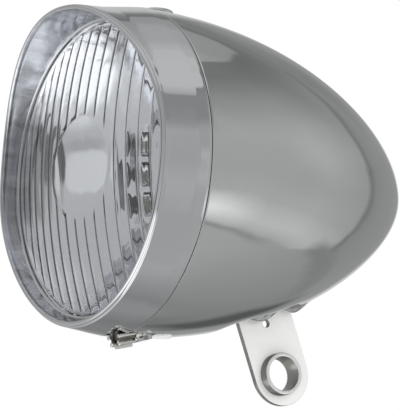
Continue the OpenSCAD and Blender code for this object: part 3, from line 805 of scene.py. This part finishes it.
def make_saddle():
    """Angle inside the shell that the strip is screwed to: a plate on the strip, and a foot that
    follows the dented skin."""
    lean = math.radians(STRIP_LEAN)

    def on_skin(x, along, gap):
        """Point straight up the strip from (x, along) at the bush, gap inside the inner skin."""
        low, high = 4.0, 26.0
        for _ in range(40):
            up = (low + high) / 2
            y = BUSH_BACK + along * math.cos(lean) - up * math.sin(lean)
            z = -BUSH_DROP + along * math.sin(lean) + up * math.cos(lean)
            if math.hypot(x, z) > inner_skin(y) - float(slot_dent(x, y)) - gap:
                low = up
            else:
                high = up
        return x, y, z

    across = np.linspace(STRIP_T / 2, SADDLE_REACH, 20)
    along = np.linspace(-SADDLE_HALF, SADDLE_HALF, 17)
    foot = [on_skin(x, a, gap) for gap in (SADDLE_GAP, SADDLE_GAP + SADDLE_T)
            for x in across for a in along]
    piece("saddle_foot", (foot, slab(len(across), len(along))), plain_steel, "housing",
          ["bracket_saddle"])
    foot_up, top, corner = 13.6, 24.5, SADDLE_HALF - 1
    plate = prism([(-SADDLE_HALF, foot_up), (SADDLE_HALF, foot_up), (SADDLE_HALF, top - 1),
                   (corner, top), (-corner, top), (-SADDLE_HALF, top - 1)],
                  STRIP_T / 2, STRIP_T / 2 + SADDLE_T)
    piece("saddle_plate", on_strip(place(plate, STAND)), plain_steel, "housing")


def make_bush():
    """Ring with a rolled edge on both sides and a groove that holds the strip; its walls are
    painted dark as shade.
    """
    outline = [(3.5, -1.3), (3.56, -1.5), (3.75, -1.6), (4.15, -1.6), (4.33, -1.52), (4.4, -1.35),
               (4.4, -0.61), (4.0, -0.61), (4.0, 0.61), (4.4, 0.61), (4.4, 2.45), (4.3, 2.68),
               (4.1, 2.8), (3.85, 2.8), (3.6, 2.7), (3.5, 2.5)]
    obj = piece("bush_ring", lathe(outline, 96, "x", (0, BUSH_BACK, -BUSH_DROP)), bush_steel,
                "housing", ["bracket_bush"])
    obj.visible_glossy = False
    # Faces that don't look along the axis are painted dark, as shade on the walls and in the groove
    paint_where(obj, bush_wall_shade, lambda x, y, z, normals: np.abs(normals[:, 0]) < 0.6)


# Push button

def make_button():
    """Cap with a low crown, a flange that keeps it in the shell and a stem into the switch."""
    outline = [(ON_AXIS, 25.8), (1.4, 25.8), (1.5, 25.9), (1.5, 30.55), (1.6, 30.6), (4.3, 30.6),
               (4.4, 30.7), (4.4, 31.3), (4.3, 31.4), (BUTTON_R, 31.4)]
    outline += arc(0, BUTTON_TOP - BUTTON_CROWN, BUTTON_R, 0, 85, 18, ry=BUTTON_CROWN)
    outline += [(ON_AXIS, BUTTON_TOP)]
    piece("button_cap", lathe(outline, 72, "z", (0, BUTTON_Y, 0), closed=False), button_chrome,
          "button", ["switch_button"])


def make_spring():
    """Coil under the button."""
    steps, sides = 85, 10
    at = np.linspace(0, 1, steps)
    angles = at * COIL_TURNS * 2 * math.pi
    out = np.stack([np.cos(angles), np.sin(angles), np.zeros(steps)], -1)
    middle = COIL_R * out
    middle[:, 1] += BUTTON_Y
    middle[:, 2] += COIL_FOOT + WIRE_R + (COIL_TOP - COIL_FOOT - 2 * WIRE_R) * at
    up = np.array([0, 0, 1])
    lines = [middle + WIRE_R * (math.cos(a) * out + math.sin(a) * up) for a in circle_angles(sides)]
    ends = [tuple(range(sides)), tuple(range((steps - 1) * sides, steps * sides))]
    shape = np.stack(lines, 1).reshape(-1, 3), grid(steps, sides, wrap_v=True) + ends
    obj = piece("switch_coil", shape, spring_steel, "housing", ["switch_spring"])
    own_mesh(obj)


make_shell()
make_bezel()
make_lens()
make_reflector()
for led_name, pitches in (("led_top", 1), ("led_middle", 0), ("led_bottom", -1)):
    make_led(led_name, pitches)
make_screw()
make_bracket()
make_saddle()
make_bush()
make_button()
make_spring()

# The other CAD nodes keep their meshes and are painted here
for mat, nodes in ((chrome, ("bezel_lug", "screw_clip")),
                   (plain_steel, ("top_hook", "hook_catch", "captive_nut", "chassis_plate")),
                   (spring_steel, ("retaining_ring", "contact_springs")),
                   (copper, ("board_contacts", "contact_plates")),
                   (zinc, ("board_screws", "carrier_screws", "bracket_screws", "bracket_nuts")),
                   (black, ("battery_carrier", "switch_body")),
                   (wrap, ("battery_top", "battery_left", "battery_right")),
                   (rubber, ("lens_gasket",)), (board, ("led_board",)), (ceramic, ("resistor",))):
    for node in nodes:
        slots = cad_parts[node].data.materials
        if not len(slots):
            slots.append(mat)
        for index in range(len(slots)):
            slots[index] = mat


# Studio

# A tent stands round the lamp that only reflections and refractions see. Its tones are of light,
# 1 for white. Azimuth on it is 0 straight behind the lamp, -90 on the right and 90 on the left as
# the camera sees it, and its seam is in front, at 180.
TENT_R = 2.0
TENT_AT = (0, 15, 0)
TENT_TINT = (0.99, 1.0, 1.0)
# The tent's cloth is uneven: noise of this scale shifts its places by up to half of WAVER metres
WAVER = 0.22
WAVER_SCALE = 2.2
# The back of the tent is seen up to BACK_HALF to either side, and the front beyond
BACK_HALF = 82.0
BACK_SOFT = 8.0
# Tones by elevation, behind the lamp, at the ceiling there and in front of the lamp
SKY = [(-90, 0.5), (-34, 0.5), (-28, 0.56), (-18, 0.6), (-10, 0.57), (0, 0.53), (10, 0.54),
       (20, 0.56), (26, 0.53), (30, 0.49), (34, 0.44), (38, 0.4), (42, 0.35), (46, 0.29),
       (50, 0.24), (60, 0.25)]
CEILING = [(-90, 0.47), (49, 0.46), (57, 0.5), (62, 0.6), (70, 0.64), (90, 0.6)]
FRONT = [(-90, 0.6), (-30, 0.62), (0, 0.5), (25, 0.46), (43, 0.46), (50, 0.66), (90, 0.6)]
# Elevation at which the ceiling begins, by azimuth, in hundreds of degrees
CEILING_EDGE = [(-90, 0.42), (-68, 0.425), (-62, 0.44), (-60, 0.462), (-54, 0.475), (-47, 0.5),
                (-45.5, 0.552), (-30, 0.57), (-18, 0.56), (0, 0.52), (20, 0.49), (90, 0.49)]
# Brighter band of the ceiling: azimuth, half width, softness and tone
CEILING_BAND = (-70, 24.5, 2, 0.72)
# Behind the lamp it dims by this share to the left, starting at DIM_FROM
DIM = 0.17
DIM_FROM = -22
DIM_OVER = 24
# Tones of the ground by azimuth, a card on it, and its horizon, which climbs to the left
GROUND = [(-90, 0.5), (-54, 0.51), (-45, 0.53), (-30, 0.5), (-15, 0.45), (0, 0.41), (20, 0.36),
          (40, 0.29), (52, 0.22), (65, 0.3), (90, 0.4)]
GROUND_CARDS = [(140, 14, 10, -34, 1.2, 2, 0.37)]
HORIZON = -31.5
HORIZON_SOFT = 1.5
CLIMB = 10.0
CLIMB_FROM = -17
CLIMB_OVER = 20
# Dark-rimmed blot on the left, down to the ground: azimuth, elevation, half width and half
# height. Its tones go by the distance from its centre, 1 on its edge.
BLOT = (33, 8, 30, 37)
BLOT_TONES = [(0, 0.37), (0.7, 0.36), (0.88, 0.34), (0.97, 0.25), (1.02, 0.26), (1.08, 0.33)]
BLOT_SOFT = 0.1
# Cards: azimuth from the front, half width and softness, elevation, half height and softness,
# and the tone
BACK_CARDS = [
    (150, 32, 8, -24, 5, 9, 0.74),
    (125, 8, 18, -24, 6, 12, 1.2),
    (109, 8, 2.5, -24, 10, 8, 0.52),
    (160, 9, 16, 16, 9, 16, 0.62),
    (152, 6, 10, 1, 5, 8, 0.52),
    (107, 17, 5, 33, 10, 10, 0.33),
    (141, 9, 3, 64, 8.5, 2, 0.7),
    (109, 5, 3, 10, 13, 6, 0.49),
    (112, 2.5, 3, -2, 10, 6, 0.62),
    (105, 8, 4, -50, 30, 12, 0.51),
]
GLINTS = [
    (-155, 30, 8, -25, 3.5, 4, 0.29),
    (-148, 14, 10, 5, 22, 20, 0.36),
    (-150, 9, 8, 35, 8, 10, 0.29),
    (-122, 6, 6, 28, 12, 10, 0.66),
    (-128, 8, 6, 0, 6, 8, 0.72),
    (-132, 7, 4, 11, 4, 7, 1.15),
    (-136, 8, 5, -25, 6, 6, 0.08),
    (-128, 14, 10, -60, 14, 14, 0.38),
]
FRONT_CARDS = [
    (25, 16, 8, -6, 32, 10, 0.15),
    (-28, 30, 8, -33, 10.5, 5, 1.35),
    (22, 62, 12, -62, 25, 6, 1.7),
    (84, 7, 5, -52, 12, 8, 1.3),
]
# Spots in front: azimuth from the front, elevation, half width, half height, softness and tone
SPOTS = [
    (-10, -13.5, 16, 9, 0.3, 0.48),
    (-9, -7.5, 16, 4, 0.6, 0.37),
    (-9, -21, 16, 8, 0.5, 0.72),
    (-10, 4, 15, 10.5, 0.12, 0.66),
    (7, -8, 6.3, 18, 0.2, 0.01),
]

# Floor and softboxes, in metres and watts: the place, size and power of each softbox
FLOOR_Z = -0.26
FLOOR_HALF = 6.0
SOFTBOXES = {"key": ((-0.7, -1.2, 1.3), 0.9, 22), "fill": ((1.5, 0.4, 0.6), 1.2, 9)}
SOFTBOX_AIM = (0, -0.02, 0.03)
# Strength of the world where it lights the lamp, and where it is seen
WORLD_LIGHT = 0.7
WORLD_SEEN = 1.0

# Camera, fitted to the photo: its distance in metres, its focal length in pixels of the photo,
# and the point it looks at
CAMERA_AZ = 57.5
CAMERA_EL = -10.5
CAMERA_ROLL = 0.27
CAMERA_FAR = 1.0
CAMERA_FOCAL = 4890.0
CAMERA_AIM = (0, 18.4, -4.83)
PHOTO_W = 400
SENSOR_W = 36.0


class Maths:
    """Short way to chain math nodes in one node tree."""

    def __init__(self, tree):
        self.tree = tree

    def node(self, kind, op, inputs):
        node = add_node(self.tree, kind)
        node.operation = op
        for socket, value in zip(node.inputs, inputs):
            feed(self.tree, socket, value)
        return node

    def __call__(self, op, *inputs, clamp=False):
        node = self.node("Math", op, inputs)
        node.use_clamp = clamp
        return node.outputs[0]

    def vector(self, op, *inputs):
        return self.node("VectorMath", op, inputs).outputs[0]

    def rise(self, value, start, over):
        """0 up to start, growing to 1 over the next stretch."""
        return self("MULTIPLY_ADD", value, 1 / over, -start / over, clamp=True)

    def fall(self, value, end, soft):
        """1 up to a stretch before the end, falling to 0 at the end."""
        return self("DIVIDE", self("SUBTRACT", end, value), soft, clamp=True)

    def band(self, value, centre, half, soft):
        """1 within half of the centre, falling to 0 over soft."""
        off = self("ABSOLUTE", self("SUBTRACT", value, centre))
        return self("SMOOTH_MIN", self.fall(off, half + soft / 2, soft), 1.0, 0.3)

    def far(self, azim, elev, az, el, az_half, el_half):
        """Distance from an ellipse's centre, 1 on its edge."""
        across, up = (self("POWER", self("DIVIDE", self("SUBTRACT", value, at), half), 2.0)
                      for value, at, half in ((azim, az, az_half), (elev, el, el_half)))
        return self("SQRT", self("ADD", across, up))

    def blend(self, low, high, mask):
        return self("MULTIPLY_ADD", mask, self("SUBTRACT", high, low), low)

    def ramp(self, value, stops, low=-90, high=90):
        """Value by a colour ramp between low and high, from stops [(at, tone)]."""
        ramp = add_node(self.tree, "ValToRGB")
        marks = ramp.color_ramp.elements
        while len(marks) < len(stops):
            marks.new(0.5)
        for mark, (at, tone) in zip(marks, stops):
            mark.position = (at - low) / (high - low)
            mark.color = (tone, tone, tone, 1)
        share = self("DIVIDE", self("SUBTRACT", value, low), high - low)
        self.tree.links.new(share, ramp.inputs["Fac"])
        return add_node(self.tree, "SeparateColor", Color=ramp.outputs["Color"]).outputs[0]

    def cards(self, value, azim, elev, cards):
        """Lays soft rectangles over a tone."""
        for az, az_half, az_soft, el, el_half, el_soft, tone in cards:
            off = self("WRAP", self("SUBTRACT", azim, (az + 360) % 360 - 180), 180.0, -180.0)
            mask = self("MULTIPLY", self.band(off, 0.0, az_half, az_soft),
                        self.band(elev, el, el_half, el_soft))
            value = self.blend(value, tone, mask)
        return value

    def direction(self):
        """Azimuth and elevation on the tent, wavered a little as uneven cloth would."""
        at = add_node(self.tree, "TexCoord").outputs["Object"]
        noise = add_node(self.tree, "TexNoise", Vector=at, Scale=WAVER_SCALE, Detail=3.0)
        waver = self.vector("SUBTRACT", noise.outputs["Color"], (0.5, 0.5, 0.5))
        at = self.vector("NORMALIZE", self.vector("MULTIPLY_ADD", waver, (WAVER,) * 3, at))
        x, y, z = add_node(self.tree, "SeparateXYZ", Vector=at).outputs
        azim = self("ARCTAN2", self("MULTIPLY", x, -1.0), y)
        elev = self("ARCSINE", z)
        return [self("MULTIPLY", angle, 180 / math.pi) for angle in (azim, elev)]


def back_tone(m, azim, elev):
    """Behind the lamp: sky, ceiling, cards and blot, and below them the ground and the glints."""
    band_az, band_half, band_soft, band_tone = CEILING_BAND
    ceiling = m.blend(m.ramp(elev, CEILING), band_tone, m.band(azim, band_az, band_half, band_soft))
    edge = m("MULTIPLY", m.ramp(azim, CEILING_EDGE), 100.0)
    tone = m.blend(m.ramp(elev, SKY), ceiling, m("SUBTRACT", elev, edge, clamp=True))
    tone = m.cards(tone, azim, elev, BACK_CARDS)
    dim = m("MULTIPLY", m.rise(azim, DIM_FROM, DIM_OVER), DIM)
    tone = m("MULTIPLY", tone, m("SUBTRACT", 1.0, dim))
    far = m.far(azim, m("MAXIMUM", elev, BLOT[1]), *BLOT)
    rim = BLOT_TONES[-1][0]
    tone = m.blend(tone, m.ramp(far, BLOT_TONES, 0, 1.2), m.fall(far, rim, BLOT_SOFT))
    climb = m("MULTIPLY", m.rise(azim, CLIMB_FROM, CLIMB_OVER), CLIMB)
    level = m("SUBTRACT", elev, climb)
    ground = m.cards(m.ramp(azim, GROUND), azim, level, GROUND_CARDS)
    tone = m.blend(tone, ground, m.fall(level, HORIZON, HORIZON_SOFT))
    return m.cards(tone, azim, elev, GLINTS)


def front_tone(m, azim, elev):
    """In front of the lamp: tones by elevation, and cards and spots over them."""
    tone = m.cards(m.ramp(elev, FRONT), azim, elev, FRONT_CARDS)
    from_front = m("WRAP", m("ADD", azim, 180.0), 180.0, -180.0)
    for az, el, az_half, el_half, soft, spot_tone in SPOTS:
        far = m.far(from_front, elev, az, el, az_half, el_half)
        tone = m.blend(tone, spot_tone, m.fall(far, 1.0, soft))
    return tone


def studio_object(name, bm, at):
    """Object of a bmesh with a node material of its own, and that material."""
    mesh = bpy.data.meshes.new(name)
    bm.to_mesh(mesh)
    bm.free()
    mat = bpy.data.materials.new(name)
    mat.use_nodes = True
    mesh.materials.append(mat)
    obj = add_object(name, mesh)
    obj.location = at
    return obj, mat


def make_tent():
    """Tent of light that only reflections and refractions see."""
    bm = bmesh.new()
    bmesh.ops.create_uvsphere(bm, u_segments=64, v_segments=32, radius=TENT_R)
    bmesh.ops.reverse_faces(bm, faces=bm.faces)
    obj, mat = studio_object("tent", bm, row(TENT_AT))
    obj.data.shade_smooth()
    tree = mat.node_tree
    tree.nodes.clear()
    m = Maths(tree)
    azim, elev = m.direction()
    tone = m.blend(front_tone(m, azim, elev), back_tone(m, azim, elev),
                   m.band(azim, 0.0, BACK_HALF, BACK_SOFT))
    tint = add_node(tree, "CombineColor")
    for socket, factor in zip(tint.inputs[:3], TENT_TINT):
        tree.links.new(m("MULTIPLY", tone, factor), socket)
    glow = add_node(tree, "Emission", Color=tint.outputs[0])
    add_node(tree, "OutputMaterial", Surface=glow.outputs[0])
    mat.cycles.emission_sampling = "NONE"
    obj.visible_camera = False
    obj.visible_diffuse = False
    obj.visible_shadow = False
    obj.visible_volume_scatter = False


def make_floor():
    """White floor that is see-through from below."""
    bm = bmesh.new()
    bmesh.ops.create_grid(bm, x_segments=2, y_segments=2, size=FLOOR_HALF)
    obj, mat = studio_object("floor", bm, (0, 0, FLOOR_Z))
    tree = mat.node_tree
    plain = tree.nodes["Principled BSDF"]
    plain.inputs["Base Color"].default_value = (0.9, 0.9, 0.9, 1)
    plain.inputs["Roughness"].default_value = 0.8
    below = add_node(tree, "NewGeometry").outputs["Backfacing"]
    see_through = add_node(tree, "BsdfTransparent").outputs[0]
    surface = mix_shaders(tree, below, plain.outputs[0], see_through)
    tree.links.new(surface, tree.nodes["Material Output"].inputs["Surface"])
    obj.visible_glossy = False
    obj.visible_transmission = False


def make_world():
    """Soft light on the lamp, and white for the camera, reflections and refractions."""
    world = bpy.data.worlds.new("studio")
    bpy.context.scene.world = world
    world.use_nodes = True
    tree = world.node_tree
    tree.nodes.clear()
    m = Maths(tree)
    rays = add_node(tree, "LightPath").outputs
    seen = m("MAXIMUM", rays["Is Camera Ray"], rays["Is Glossy Ray"])
    seen = m("MAXIMUM", seen, rays["Is Transmission Ray"])
    light, white = (add_node(tree, "Background", Color=(1, 1, 1, 1), Strength=strength).outputs[0]
                    for strength in (WORLD_LIGHT, WORLD_SEEN))
    add_node(tree, "OutputWorld", Surface=mix_shaders(tree, seen, light, white))


def make_softbox(name, at, size, power):
    """Square light that reflections and refractions don't see."""
    light = bpy.data.lights.new(name, "AREA")
    light.shape, light.size, light.energy = "SQUARE", size, power
    obj = add_object(name, light)
    obj.location = at
    ahead = Vector(SOFTBOX_AIM) - Vector(at)
    obj.rotation_euler = ahead.to_track_quat("-Z", "Y").to_euler()
    obj.visible_glossy = False
    obj.visible_transmission = False


def make_camera():
    """Camera whose azimuth is 0 straight in front of the lamp, and whose elevation is negative
    where it looks up."""
    data = bpy.data.cameras.new("camera")
    data.sensor_fit, data.sensor_width = "HORIZONTAL", SENSOR_W
    data.lens = SENSOR_W * CAMERA_FOCAL / PHOTO_W
    data.clip_start, data.clip_end = 0.01, 50
    a, e, r = (math.radians(angle) for angle in (CAMERA_AZ, CAMERA_EL, CAMERA_ROLL))
    back = Vector((math.sin(a) * math.cos(e), -math.cos(a) * math.cos(e), math.sin(e)))
    right = Vector((math.cos(a), math.sin(a), 0))
    up = Vector((-math.sin(a) * math.sin(e), math.cos(a) * math.sin(e), math.cos(e)))
    right, up = right * math.cos(r) + up * math.sin(r), up * math.cos(r) - right * math.sin(r)
    turned = Matrix((right, up, back)).transposed().to_4x4()
    camera = add_object("camera", data)
    camera.matrix_world = Matrix.Translation(Vector(row(CAMERA_AIM)) + back * CAMERA_FAR) @ turned
    bpy.context.scene.camera = camera


make_tent()
make_floor()
make_world()
for softbox_name, settings in SOFTBOXES.items():
    make_softbox(softbox_name, *settings)
make_camera()
bpy.context.scene.view_settings.view_transform = "Standard"
